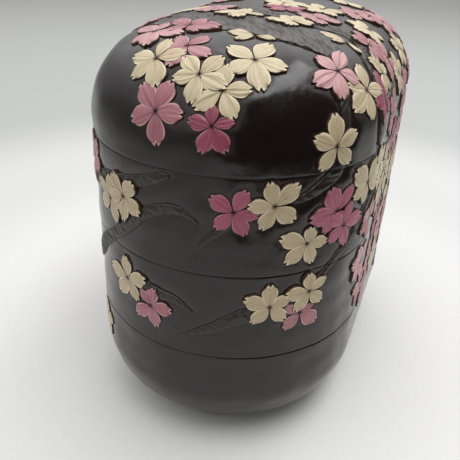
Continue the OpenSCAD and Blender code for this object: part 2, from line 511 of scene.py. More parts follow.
# Each branch is a list of (on the top or not, first, second, width), from its thin end or its start
BRANCHES = [
    # Trunk over the lid, down the shoulder and out along the upper tier
    [(0, -150, 205, 30), (1, -30, 46, 30), (1, -47, 26, 30), (1, -51, 5, 30), (1, -52, -14, 28),
     (1, -54, -29, 24), (1, -57, -42, 17), (1, -61, -51, 12), (0, 81, 197, 8), (0, 77.5, 188, 5.5),
     (0, 76, 180, 4.8), (0, 75, 172, 4.5), (0, 74, 163, 5.5), (0, 70, 157.5, 6.5), (0, 60, 151.5, 4.5),
     (0, 50, 148, 1.5)],
    # Second arm over the lid, down towards the flowered side
    [(1, -14, 12, 3), (1, -21, -4, 9), (1, -24.5, -20, 13), (1, -25, -34, 13), (1, -22, -46, 12),
     (1, -27, -56, 10), (0, 121, 200, 9), (0, 112, 190, 7), (0, 106, 176, 5), (0, 106, 163, 3)],
    # Upper tier, left: two arms from behind the pair of cream flowers
    [(0, -3.5, 157.3, 0.8), (0, -5.5, 156.8, 3), (0, -9, 155.6, 4.2), (0, -17.5, 152, 5), (0, -26, 149, 5.5),
     (0, -35, 146.5, 6.5), (0, -52, 142, 7.5), (0, -72, 135, 8)],
    [(0, 10, 137, 0.8), (0, 6, 139.6, 1.6), (0, 1.6, 141.5, 3.5), (0, -3.5, 141.8, 4.2), (0, -9.5, 140, 4.8),
     (0, -17, 136, 5.3), (0, -27, 127, 6), (0, -36, 119.5, 6.3), (0, -45, 113, 6.5), (0, -53, 107, 7),
     (0, -60, 101.5, 8), (0, -72, 91, 9), (0, -90, 80, 11)],
    # Upper tier, middle
    [(0, 9, 122.5, 0.8), (0, 12, 128, 2.2), (0, 20, 135, 3.2), (0, 27, 141, 3)],
    # Across the lower seam on the right
    [(0, 66, 103, 0.8), (0, 73, 107.5, 3), (0, 80, 113.5, 4.2), (0, 89, 120.5, 5), (0, 99, 130.5, 5.5),
     (0, 112, 140, 6.5), (0, 130, 146, 8)],
    # Middle tier
    [(0, 8, 88, 0.8), (0, -1, 93, 3.8), (0, -10, 94, 5), (0, -17, 95, 6), (0, -26, 98, 5)],
    [(0, -1, 72, 0.8), (0, 6, 75.5, 2.5), (0, 13, 78.8, 4), (0, 18.5, 81.5, 5.2), (0, 24, 85, 6.5),
     (0, 31, 88.5, 7.5), (0, 40, 91, 7.5), (0, 50, 94, 7), (0, 58, 97, 5)],
    # Limb of the unseen long side and its arms
    [(0, -300, 74, 9), (0, -270, 96, 13), (0, -235, 112, 14), (0, -200, 118, 14), (0, -160, 112, 13),
     (0, -125, 98, 12), (0, -96, 82, 11)],
    [(0, -235, 112, 13), (0, -215, 140, 12), (0, -190, 168, 14), (0, -172, 190, 20), (0, -150, 205, 28)],
    [(0, -165, 114, 9), (0, -140, 130, 8), (0, -115, 142, 8), (0, -90, 145, 8), (0, -70, 140, 7)],
    [(0, -190, 168, 8), (0, -150, 170, 6), (0, -118, 178, 4), (0, -100, 186, 0.8)],
    # Far end and flowered side
    [(0, 318, 120, 9), (0, 290, 134, 9), (0, 262, 142, 8), (0, 236, 156, 6),
     (0, 215, 172, 4), (0, 205, 186, 0.8)],
    [(0, 290, 134, 7), (0, 270, 112, 6), (0, 246, 98, 5), (0, 226, 92, 0.8)],
    [(0, 318, 196, 6), (0, 292, 190, 5), (0, 272, 196, 3), (0, 262, 204, 0.8)],
    [(0, -300, 170, 7), (0, -318, 150, 8)],
]


# Widths between which a branch changes from a rounded arm to a flat trunk
FLAT_WIDTHS = (8.0, 16.0)
# Distance between the stations along a branch, and about the width of a cell across it
BRANCH_STEP = 0.65
BRANCH_CELL = 0.7
# Points worked out from one knot of a branch to the next, the least stations of a branch, and the
# least width at any of them
KNOT_POINTS = 16
LEAST_STATIONS = 4
THINNEST = 0.5
# Difference between the gouge marks of one branch and the next
PHASE_STEP = 1.3


class Branch:
    """A carved band along a smooth path over the outside"""

    def __init__(self, marks, phase):
        knots = [Place(first, second, bool(on_top)).point for on_top, first, second, width in marks]
        widths = [float(width) for on_top, first, second, width in marks]
        self.phase = phase
        self.path, self.width = smooth_path(np.array(knots), np.array(widths), BRANCH_STEP)
        steps = np.linalg.norm(np.diff(self.path, axis=0), axis=1)
        self.way = np.concatenate([[0.0], np.cumsum(steps)])
        ahead = np.gradient(self.path, axis=0)
        normals = settle(self.path)[1]
        across = np.cross(normals, ahead)
        self.across = across / np.linalg.norm(across, axis=1)[:, None]

    def spots(self, station, offset):
        """Points and normals of the outside at a station along and an offset from -1 to 1"""
        half = self.width[station] / 2 * offset
        return settle(self.path[station] + self.across[station] * half[:, None])


def rounded(values):
    """Values along a rounded curve through the ones at the knots"""
    ends = np.concatenate([2 * values[:1] - values[1:2], values, 2 * values[-1:] - values[-2:-1]])
    stretches = []
    for k in range(1, len(values)):
        a, b, c, d = ends[k - 1:k + 3]
        for t in np.linspace(0, 1, KNOT_POINTS, endpoint=False):
            square = 2 * a - 5 * b + 4 * c - d
            cube = 3 * (b - c) + d - a
            stretches.append(b + 0.5 * t * (c - a + t * (square + t * cube)))
    stretches.append(values[-1])
    return np.array(stretches)


def smooth_path(knots, widths, step):
    """Evenly spaced points along a rounded curve through the knots, on the outside, with their widths"""
    path = settle(rounded(knots))[0]
    width = np.maximum(rounded(widths[:, None])[:, 0], THINNEST)
    way = np.concatenate([[0.0], np.cumsum(np.linalg.norm(np.diff(path, axis=0), axis=1))])
    even = np.linspace(0, way[-1], max(int(way[-1] / step), LEAST_STATIONS))
    path = np.stack([np.interp(even, way, path[:, axis]) for axis in range(3)], axis=-1)
    return settle(path)[0], np.interp(even, way, width)


def shuffled(first, second, seed):
    """Steady pseudo-random share for each pair of whole numbers"""
    value = np.sin(first * 12.9898 + second * 78.233 + seed * 37.719) * 43758.5453
    return value - np.floor(value)


# Length and width of a gouge mark in the bark, and how far the marks lean along the branch
GOUGE_LENGTH = 5.5
GOUGE_WIDTH = 2.1
GOUGE_LEAN = 0.8
# How far and over what width the rows of marks waver, and how far they drift along the branch
GOUGE_WAVER = 0.9
WAVER_WIDTH = 2.0
GOUGE_DRIFT = 0.25
# How far a branch's phase shifts its rows of marks, and the seed added for their other direction
PHASE_SHIFT = 7.0
OTHER_SEED = 5
# Margin that a mark's middle keeps from the edge of its cell, and the room left for it
MARK_MARGIN = 0.15
MARK_ROOM = 0.7
# How steeply a mark rises from its middle to its ridges
MARK_RISE = 2.2
# Widths of a branch between which its marks grow larger, and their size there as shares of the above
SCALE_WIDTHS = (8.0, 24.0)
GOUGE_SCALES = (0.75, 1.7)
# Widths of a branch between which its marks grow deeper, and their depth there as shares of the full one
DEPTH_WIDTHS = (5.0, 14.0)
GOUGE_DEPTHS = (0.4, 0.9)
# Width below which a branch lies lower, as it does towards its thin end, and the least share left
LOW_WIDTH = 4.0
LEAST_SHARE = 0.15
# Height of an arm and of a trunk as shares of the branch height, how squarely each falls towards its
# edges, and the share of the height that is lost there
FLAT_HEIGHTS = (1.0, 0.5)
FLAT_POWERS = (2.5, 6.0)
EDGE_FALL = 0.7
# Height of the marks, from 0 to 1, at which the bark lies at the branch's own height
CUT_LEVEL = 0.6
# Least cells across the face of a branch, and the rows that its two edges add
LEAST_CELLS = 6
EDGE_ROWS = 4
# Rows across a branch, as foot, edge and start of the face on each side: their offsets as shares of
# the half width, and their heights as shares of the face's, less than 0 at the foot
ROW_OFFSETS = (-1.03, -1.0, -0.93, 0.93, 1.0, 1.03)
ROW_HEIGHTS = (-1.0, 0.55, 1.0, 1.0, 0.55, -1.0)
# How far a branch's edges are painted as the deep of a cut, painted shade along its edges, the offset from
# which it comes in, and over what share
EDGE_SHADE = 0.9
SHADE_FROM = 0.55
SHADE_OVER = 0.45
# Points that carry petals over a branch: their spacing across it, the stations from one row of them
# to the next, the offset of the outermost, and how far each point reaches
RIDGE_SPACING = 1.2
RIDGE_STATIONS = 2
RIDGE_OFFSET = 0.9
RIDGE_REACH = 2.0
# Depth to which the ground is cut away under a wide trunk, and how squarely this bed ends at its edges
BED_DEPTH = 0.8
BED_POWER = 6

Ridges = namedtuple("Ridges", "tree tops beds")


def bark(along, across, phase, scale):
    """Height of the gouge marks on a branch, from 0 in the middle of a scoop to 1 on a ridge"""
    along, across = along / scale, across / scale
    waver = GOUGE_WAVER * np.sin(across / WAVER_WIDTH + phase)
    column = (along + GOUGE_LEAN * across + waver) / GOUGE_WIDTH
    line = (across - GOUGE_DRIFT * along) / GOUGE_LENGTH + PHASE_SHIFT * phase
    nearest = np.full(len(along), np.inf)
    for step in (-1, 0, 1):
        for side in (-1, 0, 1):
            cell_x = np.floor(column) + step
            cell_y = np.floor(line) + side
            gap_x = column - cell_x - MARK_MARGIN - MARK_ROOM * shuffled(cell_x, cell_y, phase)
            gap_y = line - cell_y - MARK_MARGIN - MARK_ROOM * shuffled(cell_y, cell_x, phase + OTHER_SEED)
            nearest = np.minimum(nearest, gap_x ** 2 + gap_y ** 2)
    return np.clip(nearest * MARK_RISE, 0.0, 1.0)


def bark_height(offset, width, cut, sizes):
    """Height of a branch's face over the plain outside, between its edges"""
    share = np.clip(width / LOW_WIDTH, LEAST_SHARE, 1.0)
    full = sizes.branch_height / MM * share * np.interp(width, FLAT_WIDTHS, FLAT_HEIGHTS)
    power = np.interp(width, FLAT_WIDTHS, FLAT_POWERS)
    gouge = sizes.gouge_depth / MM * share * np.interp(width, DEPTH_WIDTHS, GOUGE_DEPTHS)
    return full * (1 - EDGE_FALL * np.abs(offset) ** power) + (cut - CUT_LEVEL) * gouge


def branch_ridges(branches, sizes):
    """Search tree of points over the branches, with the bark's height and the depth of its bed at each"""
    feet, tops, beds = [], [], []
    for branch in branches:
        count = max(int(branch.width.max() / RIDGE_SPACING), 2)
        stations = np.arange(0, len(branch.path), RIDGE_STATIONS)
        offsets = np.linspace(-RIDGE_OFFSET, RIDGE_OFFSET, count)
        station, offset = (grid.ravel() for grid in np.meshgrid(stations, offsets))
        width = branch.width[station]
        feet.append(branch.spots(station, offset)[0])
        tops.append(bark_height(offset, width, 1.0, sizes))
        beds.append(np.interp(width, FLAT_WIDTHS, (0.0, BED_DEPTH)) * (1 - np.abs(offset) ** BED_POWER))
    return Ridges(search_tree(feet), np.concatenate(tops), np.concatenate(beds))


def over_branches(feet, tree, values):
    """A value of the branches at some points of the outside, fading to nothing beside them"""
    found = [tree.find(foot)[1:] for foot in feet]
    index, gap = (np.array(column) for column in zip(*found))
    return values[index] * ease((RIDGE_REACH - gap) / RIDGE_SPACING)


def shape_branch(bm, branch, sizes):
    """Adds one branch to a mesh, with the depth of its cuts, and painted shade along its edges, kept on the
    vertices
    """
    last = len(branch.path) - 1
    last_row = max(int(branch.width.max() / BRANCH_CELL), LEAST_CELLS) + EDGE_ROWS
    first = len(bm.verts)
    bmesh.ops.create_grid(bm, x_segments=last, y_segments=last_row, size=1)
    bm.verts.ensure_lookup_table()
    verts = bm.verts[first:]
    grid = coordinates(verts)
    station = grid_steps(grid[:, 0], last)
    row = grid_steps(grid[:, 1], last_row)
    rows = (0, 1, 2, last_row - 2, last_row - 1, last_row)
    offset = np.interp(row, rows, ROW_OFFSETS)
    rim = np.interp(row, rows, ROW_HEIGHTS)
    feet, normals = branch.spots(station, offset)
    width = branch.width[station]
    scale = np.interp(branch.width.max(), SCALE_WIDTHS, GOUGE_SCALES)
    cut = bark(branch.way[station], offset * width / 2, branch.phase, scale)
    rooted = (rim < 0) | (station == 0) | (station == last)
    height = np.where(rooted, -sizes.petal_root / MM, bark_height(offset, width, cut, sizes) * rim)
    cut_layer = bm.verts.layers.float["cut"]
    # Painted shade along the branch's edges, kept with the depth of the cuts
    shade = np.maximum(1 - cut, EDGE_SHADE * ease((np.abs(offset) - SHADE_FROM) / SHADE_OVER))
    for vert, point, depth in zip(verts, feet + normals * height[:, None], shade):
        vert.co = point
        vert[cut_layer] = depth


# Shared mesh work

# Turn of the surface past which a corner stays sharp, on the ground and on the bark
SHARP_GROUND = math.radians(38)
SHARP_BARK = math.radians(60)
# Distance within which a point of a mesh counts as lying on a cut
ON_CUT = 0.001


def new_object(name, bm, materials, scale=1.0):
    """Object in the scene made from a mesh, which it shrinks or leaves as it is"""
    mesh = bpy.data.meshes.new(name)
    bm.to_mesh(mesh)
    bm.free()
    mesh.transform(Matrix.Scale(scale, 4))
    for material in materials:
        mesh.materials.append(material)
    made = bpy.data.objects.new(name, mesh)
    bpy.context.scene.collection.objects.link(made)
    return made


def piece(name, bm, body, slot, materials, replaced=()):
    """Finishes a mesh laid out in millimetres and hands it to the frame"""
    made = new_object(name, bm, materials, MM)
    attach(made, body)
    if replaced:
        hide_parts(*replaced)


def in_slice(heights, low, high):
    """Whether something lies in a slice, at least in part"""
    return heights.max() > low and heights.min() < high


def keep_slice(bm, body, rim_material=0):
    """Cuts a mesh to the heights that a body holds, and closes the cuts"""
    low, high = SLICES[body]
    for z, way in ((low + SEAM_GAP, -1), (high - SEAM_GAP, 1)):
        if math.isinf(z):
            continue
        parts = bm.verts[:] + bm.edges[:] + bm.faces[:]
        bmesh.ops.bisect_plane(
            bm, geom=parts, dist=1e-5, plane_co=(0, 0, z), plane_no=(0, 0, way), clear_outer=True)
        rims = [edge for edge in bm.edges
                if edge.is_boundary and all(abs(vert.co.z - z) < ON_CUT for vert in edge.verts)]
        if rims:
            before = set(bm.faces)
            bmesh.ops.edgenet_fill(bm, edges=rims, mat_nr=rim_material)
            for face in set(bm.faces) - before:
                face.smooth = False


def soften(bm, sharp):
    """Smooth shading everywhere but across sharp corners"""
    for face in bm.faces:
        face.smooth = True
    for edge in bm.edges:
        edge.smooth = edge.calc_face_angle(0.0) < sharp


# Ground

# Count and range of lengths of the slow waves that hand carving leaves in the ground
GROUND_WAVES = 14
GROUND_LENGTHS = (13.0, 38.0)
# Steps of the ground's grid round the outline, and their length up the walls, the lid and the base
AROUND_STEPS = 576
WALL_STEP = 0.9
LID_STEP = 1.0
BASE_STEP = 1.6
# Distance within which two points of the ground are merged
MERGE = 0.002
# Rounding of the rims at a seam, and the rows over it as shares of its quarter turn
RIM_ROUND = 0.6
RIM_SHARES = (0.0, 0.33, 0.67, 1.0)
# Rows of the plain inside over the lid's rounding, the lid's crown and the base's rounding, and how
# far past the rounding the crown's begin
ROUND_ROWS = 8
CROWN_ROWS = 5
BASE_ROWS = 10
PAST_ROUND = 0.01
# Places along a petal's middle line from which its cover is measured, how far from them it covers
# the ground for certain, and over what width the cover ends
MIDDLE_SHARES = (0.2, 0.35, 0.5, 0.65, 0.8)
PETAL_COVER = 3.6
COVER_FADE = 1.5
# Height over which the carving fades in above the resting face
PLAIN_FOOT = 9.0


def ground_waves(points, height):
    """Slow unevenness of the hand-carved ground"""
    draw = np.random.default_rng(5)
    total = np.zeros(len(points))
    for k in range(GROUND_WAVES):
        way = draw.normal(size=3)
        way *= 2 * math.pi / draw.uniform(*GROUND_LENGTHS) / np.linalg.norm(way)
        total += np.sin(points @ way + draw.uniform(0, 2 * math.pi))
    return total * height / GROUND_WAVES ** 0.5


def near_marks(petals, branches):
    """Search trees of the petals' middle lines, of their rims and of the branches' edges"""
    shares = np.array(MIDDLE_SHARES)
    middles = [petal.spots(shares, 0 * shares)[0] for colour, petal in petals]
    rims = [petal.rim() for colour, petal in petals]
    edges = []
    for branch in branches:
        stations = np.arange(len(branch.path))
        for side in (-1.0, 1.0):
            edges.append(branch.spots(stations, np.full(len(stations), side))[0])
    return [search_tree(groups) for groups in (middles, rims, edges)]


def carved_ground(points, trees, ridges, sizes):
    """Share of the hollow and height of the carved ground at some points of the outside"""
    to_middle, to_rim, to_edge = (np.array([tree.find(point)[2] for point in points]) for tree in trees)
    under_petal = ease((PETAL_COVER - to_middle) / COVER_FADE)
    near_petal = np.exp(-to_rim * MM / sizes.hollow_reach)
    near_edge = np.exp(-to_edge * MM / sizes.branch_reach)
    hollow = np.maximum(np.maximum(under_petal, near_petal), near_edge)
    sunk = near_edge * sizes.branch_hollow + np.exp(-to_rim * MM / sizes.dip_reach) * sizes.dip_depth
    height = ground_waves(points, sizes.ground_wave / MM) - (hollow * sizes.hollow_depth + sunk) / MM
    return hollow, height - over_branches(points, ridges.tree, ridges.beds)


def carve_shell(name, body, node, rows, trees, ridges, sizes, materials):
    """One carved wall, lid or bowl: a grid wrapped round the oval over the rows of its section"""
    reaches, heights, leans, weights, inside = (np.array(column) for column in zip(*rows))
    last = len(rows) - 1
    bm = bmesh.new()
    bmesh.ops.create_grid(bm, x_segments=AROUND_STEPS, y_segments=last, size=1)
    grid = coordinates(bm.verts)
    row = grid_steps(grid[:, 1], last)
    for face in bm.faces:
        face_row = int((face.calc_center_median().y + 1) / 2 * last)
        face.material_index = int(inside[face_row] and inside[face_row + 1])
    x, y, out_x, out_y = oval(grid[:, 0] * HALF_WAY, reaches[row])
    points = np.stack([x, y, heights[row]], axis=-1)
    normals = outward(out_x, out_y, leans[row])
    weight = weights[row] * np.clip(heights[row] / PLAIN_FOOT, 0.0, 1.0)
    hollow, height = np.zeros(len(points)), np.zeros(len(points))
    carved = np.flatnonzero(weight > 0)
    hollow[carved], height[carved] = carved_ground(points[carved], trees, ridges, sizes)
    points = points + normals * (height * weight)[:, None]
    hollow_layer = bm.verts.layers.float.new("hollow")
    for vert, point, share in zip(bm.verts, points, hollow * weight):
        vert.co = point
        vert[hollow_layer] = share
    bmesh.ops.remove_doubles(bm, verts=bm.verts[:], dist=MERGE)
    bmesh.ops.recalc_face_normals(bm, faces=bm.faces[:])
    soften(bm, SHARP_GROUND)
    piece(name, bm, body, "dark_lacquer", materials, (node,))


# A row of a section is its reach, height and lean, the weight of the carving, and whether it is inside

def skin_rows(up_from, up_to, step):
    """Rows of the carved outside between two distances up the section"""
    count = max(int(round(abs(up_to - up_from) / step)), 1)
    skin = section(np.linspace(up_from, up_to, count + 1))
    return [(reach, height, lean, 1.0, False) for reach, height, lean in zip(*skin)]


def inner_rows(up_from, up_to, count):
    """Rows of the plain inside between two distances up the section"""
    skin = section(np.linspace(up_from, up_to, count + 1), WALL)
    return [(reach, height, 0.0, 0.0, True) for reach, height, lean in zip(*skin)]


def plain_rows(*places, inside=True):
    """Rows at uncarved corners of the section"""
    return [(reach, z, 0.0, 0.0, inside) for reach, z in places]


def lip_rows(rim):
    """Rows down the seat of a lip, from the rim that it stands in"""
    return plain_rows((LIP_REACH, rim), (LIP_REACH, rim - LIP_DEPTH), (INNER_REACH, rim - LIP_DEPTH))


def rim_rows(z, up_side):
    """Rows of a rounded outer rim, from the wall to the flat; up_side is 1 on top of a wall, -1 under it"""
    rows = []
    for share in RIM_SHARES:
        turn = math.pi / 2 * share
        reach = HALF_WIDTH - RIM_ROUND + RIM_ROUND * math.cos(turn)
        height = z - up_side * RIM_ROUND * (1 - math.sin(turn))
        rows.append((reach, height, 0.0, math.cos(turn), False))
    return rows


def tier_rows(low, high):
    """Closed section of a tier's wall, from the bottom of its outside"""
    floor_top = low + FLOOR_TOP
    rows = rim_rows(low, -1)[::-1]
    rows += skin_rows(low + RIM_ROUND, high - RIM_ROUND, WALL_STEP)[1:-1]
    rows += rim_rows(high, 1) + lip_rows(high)
    rows += plain_rows((INNER_REACH, floor_top), (RECESS_REACH, floor_top), (RECESS_REACH, low))
    return rows + rows[:1]


def lid_rows():
    """Section of the lid, from its outer crown over the rim to its inner crown"""
    recess_top = UPPER_RIM + RECESS_DEPTH
    rows = skin_rows(TOP_UP, UPPER_RIM + RIM_ROUND, LID_STEP)[:-1]
    rows += rim_rows(UPPER_RIM, -1)
    rows += plain_rows((RECESS_REACH, UPPER_RIM), (RECESS_REACH, recess_top), (INNER_REACH, recess_top))
    rows += inner_rows(ROUND_Z, CROWN_UP, ROUND_ROWS)
    return rows + inner_rows(CROWN_UP + PAST_ROUND, TOP_UP, CROWN_ROWS)[1:]


def bowl_rows():
    """Section of the lower tier, from the middle of its base to the middle of its inner floor"""
    base_up = BASE_ROUND * (1 - math.pi / 2)
    foot_reach = BASE_REACH - FOOT_RIM
    rows = plain_rows((0.0, FOOT_HOLLOW), (foot_reach, FOOT_HOLLOW), (foot_reach, 0.0), inside=False)
    rows += skin_rows(base_up, BASE_ROUND, BASE_STEP)
    rows += skin_rows(BASE_ROUND, LOWER_RIM - RIM_ROUND, WALL_STEP)[1:-1]
    rows += rim_rows(LOWER_RIM, 1) + lip_rows(LOWER_RIM)
    return rows + inner_rows(BASE_ROUND, base_up, BASE_ROWS) + plain_rows((0.0, WALL))


# Finishes

def opaque(colour):
    """Colour with full alpha"""
    return (*colour, 1.0)


class NodeWeb:
    """Short calls for the nodes and links of a finish or of the room's light"""

    def __init__(self, tree, place):
        self.nodes = tree.nodes
        self.links = tree.links
        self.place = self.add("ShaderNodeTexCoord").outputs[place]

    def add(self, kind, **settings):
        """New node with some of its settings"""
        node = self.nodes.new(kind)
        for name, value in settings.items():
            setattr(node, name, value)
        return node

    def feed(self, socket, value):
        """Links an output to a socket, or sets the socket to a plain value"""
        if isinstance(value, bpy.types.NodeSocket):
            self.links.new(value, socket)
        else:
            socket.default_value = value

    def attribute(self, name, output="Fac"):
        """Output of a mesh attribute"""
        return self.add("ShaderNodeAttribute", attribute_name=name).outputs[output]

    def split(self, vector):
        """The three parts of a vector"""
        node = self.add("ShaderNodeSeparateXYZ")
        self.feed(node.inputs[0], vector)
        return node.outputs

    def stretched(self, scale, place=None):
        """A place, or else the piece's own, stretched by a factor on each axis"""
        node = self.add("ShaderNodeMapping")
        self.feed(node.inputs["Vector"], place or self.place)
        node.inputs["Scale"].default_value = scale
        return node.outputs["Vector"]

    def noise(self, size, detail=3.0, place=None, rough=0.55):
        """Noise whose blotches are about size metres across, or size stretched units"""
        node = self.add("ShaderNodeTexNoise")
        self.feed(node.inputs["Vector"], place or self.place)
        node.inputs["Scale"].default_value = 1.0 / size
        node.inputs["Detail"].default_value = detail
        node.inputs["Roughness"].default_value = rough
        return node.outputs["Fac"]

    def span(self, value, low, high, to_low=0.0, to_high=1.0):
        """Value moved from one range to another, without leaving the second"""
        node = self.add("ShaderNodeMapRange", interpolation_type="SMOOTHSTEP")
        self.feed(node.inputs["Value"], value)
        for name, bound in (("From Min", low), ("From Max", high), ("To Min", to_low), ("To Max", to_high)):
            node.inputs[name].default_value = bound
        return node.outputs["Result"]

    def reckon(self, kind, first, second=0.0, third=0.0):
        """Arithmetic on one, two or three values"""
        node = self.add("ShaderNodeMath", operation=kind)
        for socket, value in zip(node.inputs, (first, second, third)):
            self.feed(socket, value)
        return node.outputs["Value"]

    def blend(self, share, first, second):
        """Mix of two colours, each an output or a plain colour"""
        node = self.add("ShaderNodeMix", data_type="RGBA")
        self.feed(node.inputs[0], share)
        for socket, colour in ((node.inputs[6], first), (node.inputs[7], second)):
            self.feed(socket, colour if isinstance(colour, bpy.types.NodeSocket) else opaque(colour))
        return node.outputs[2]

    def bump(self, height, distance, strength=1.0, under=None):
        """Bump whose full height is a distance in metres"""
        node = self.add("ShaderNodeBump")
        self.feed(node.inputs["Height"], height)
        node.inputs["Distance"].default_value = distance
        node.inputs["Strength"].default_value = strength
        if under is not None:
            self.feed(node.inputs["Normal"], under)
        return node.outputs["Normal"]


class Finish(NodeWeb):
    """Material of a piece, with a short call for its shader"""

    def __init__(self, name):
        self.material = bpy.data.materials.new(name)
        self.material.use_nodes = True
        super().__init__(self.material.node_tree, "Object")
        self.shader = self.nodes["Principled BSDF"]

    def set(self, **sockets):
        """Feeds the shader's sockets, named in small letters"""
        for name, value in sockets.items():
            self.feed(self.shader.inputs[name.replace("_", " ").title().replace("Ior", "IOR")], value)
        return self.material


def ground_lacquer(colours):
    """Brown-black lacquer of the carved ground, browner towards the petals, and darkest beside them: painted
    shade, with the umber that gathers in the grooves
    """
    made = Finish("ground_lacquer")
    hollow = made.attribute("hollow")
    cloud = made.noise(0.018, 4.0)
    fine = made.noise(0.0022)
    wood = made.noise(0.0035, 2.0, made.stretched((0.12, 0.12, 1.0)))
    brown = made.reckon("MULTIPLY_ADD", wood, 0.3, made.reckon("MULTIPLY_ADD", cloud, 0.4, hollow))
    colour = made.blend(made.span(brown, 0.45, 1.15), colours.lacquer, colours.thin_lacquer)
    # Painted shade, with umber that gathers there: the ground turns darkest in the grooves beside petals and
    # branches
    colour = made.blend(made.span(hollow, 0.80, 0.96), colour, colours.groove_and_shade)
    wear = made.reckon("MULTIPLY", made.span(fine, 0.35, 0.75), 0.07)
    gloss = made.reckon("ADD", made.span(hollow, 0.3, 1.0, 0.18, 0.34), wear)
    ripple = made.bump(made.noise(0.007, 2.0), 0.0003, 0.6)
    skin = made.bump(fine, 0.00003, 0.5, ripple)
    return made.set(base_color=colour, roughness=gloss, normal=skin, ior=1.5)


def bark_lacquer(colours):
    """Lacquer over the gouged branches: duller, with painted shade as dark lines on the ridges between the
    scoops, and painted light on scoops that face upwards
    """
    made = Finish("bark_lacquer")
    grain = made.noise(0.0016, 4.0, rough=0.65)
    depth = made.reckon("MULTIPLY_ADD", grain, 0.4, made.attribute("cut"))
    # Painted light: scoops that face upwards are lighter
    upwards = made.split(made.add("ShaderNodeNewGeometry").outputs["Normal"])[2]
    scoop = made.blend(made.span(upwards, 0.3, 0.9), colours.bark, colours.bark_lit_from_above)
    # Painted shade: dark brown lines on the ridges between the scoops
    colour = made.blend(made.span(depth, 0.3, 1.1), colours.bark_ridge_shade, scoop)
    rough = made.span(grain, 0.2, 0.8, 0.30, 0.46)
    return made.set(base_color=colour, roughness=rough, normal=made.bump(grain, 0.00007, 0.7))


def inner_lacquer(colours):
    """Smooth dark red lacquer of the insides, the lips and the floor boards"""
    made = Finish("inner_lacquer")
    colour = made.blend(made.span(made.noise(0.03), 0.3, 0.8), colours.inner, colours.inner_dark)
    streak = made.noise(0.004, 2.0, made.stretched((1.0, 1.0, 0.15)))
    rough = made.span(streak, 0.2, 0.8, 0.22, 0.36)
    normal = made.bump(streak, 0.00004, 0.5)
    return made.set(base_color=colour, roughness=rough, normal=normal, coat_weight=0.3, coat_roughness=0.12)


# How much paler the paint is along the rim of a petal: rubbed paint, and a painted highlight where the rim
# catches the light
RIM_WEAR_AND_HIGHLIGHT = 0.12


def petal_paint(name, light, deep, colours):
    """Satin paint of the petals: paler rims of rubbed paint and painted highlight, ridges and brushed
    streaks, brown grain showing through, and painted shade in umber down the creases and at the flower's
    middle
    """
    made = Finish(name)
    petal = made.attribute("petal", "Vector")
    across, along, tint_and_shade = made.split(petal)
    ridges = made.noise(1.0, 1.0, made.stretched((1.9, 0.5, 40.0), petal))
    streaks = made.noise(1.0, 3.0, made.stretched((7.0, 1.3, 40.0), petal))
    grain = made.noise(1.0, 2.0, made.stretched((10.0, 2.2, 70.0), petal))
    speck = made.noise(0.0014, 4.0, rough=0.6)
    cloud = made.noise(0.009)
    # The tint mixes random tone with painted shade: it is deeper for the flowers on the tiers' upright walls
    shade = made.reckon("MULTIPLY_ADD", cloud, 0.5, made.reckon("SUBTRACT", tint_and_shade, 0.35))
    shade = made.span(made.reckon("MULTIPLY_ADD", streaks, 0.35, shade), 0.0, 1.0)
    colour = made.blend(shade, light, deep)
    side = made.reckon("ABSOLUTE", across)
    brim = made.reckon("MAXIMUM", side, made.span(along, 0.86, 1.0, 0.75, 1.0))
    # Painted highlight, with rubbed paint: paler along each petal's rim and tip
    colour = made.blend(made.span(brim, 0.78, 0.94, 0.0, 0.65), colour, [c + RIM_WEAR_AND_HIGHLIGHT for c in light])
    # Painted shade: umber down the crease of each petal and at the middle of its flower
    crease = made.span(side, 0.0, 0.10, 0.4, 0.0)
    crease = made.reckon("MULTIPLY", crease, made.span(along, 0.15, 0.7, 1.0, 0.0))
    middle = made.span(along, 0.03, 0.15, 0.8, 0.0)
    worn = made.reckon("MULTIPLY", made.span(grain, 0.60, 0.70, 0.0, 0.6), made.span(cloud, 0.47, 0.57))
    worn = made.reckon("MULTIPLY", worn, made.span(side, 0.4, 0.8, 1.0, 0.0))
    brown = made.reckon("MAXIMUM", made.reckon("MAXIMUM", crease, middle), worn)
    colour = made.blend(brown, colour, colours.umber)
    ripple = made.bump(ridges, 0.0015, 0.9)
    normal = made.bump(made.reckon("MULTIPLY_ADD", speck, 0.4, streaks), 0.00014, 0.7, ripple)
    return made.set(base_color=colour, roughness=made.span(speck, 0.2, 0.8, 0.30, 0.46), normal=normal)


def umber_edge(colours):
    """Brown lacquer of the cut sides of the petals, dark as painted shade round their outlines"""
    made = Finish("umber_edge")
    speck = made.noise(0.0012)
    colour = made.blend(made.span(speck, 0.3, 0.8), colours.umber, colours.thin_lacquer)
    return made.set(base_color=colour, roughness=made.span(speck, 0.2, 0.8, 0.4, 0.6))


# What a user would change

def length_property(name, description, default, least=0.0):
    """Length that a user can change"""
    return FloatProperty(name=name, description=description, default=default, min=least, unit="LENGTH")


def colour_property(name, description, default):
    """Colour that a user can change"""
    return FloatVectorProperty(
        name=name, description=description, default=default, min=0.0, max=1.0, size=3, subtype="COLOR")


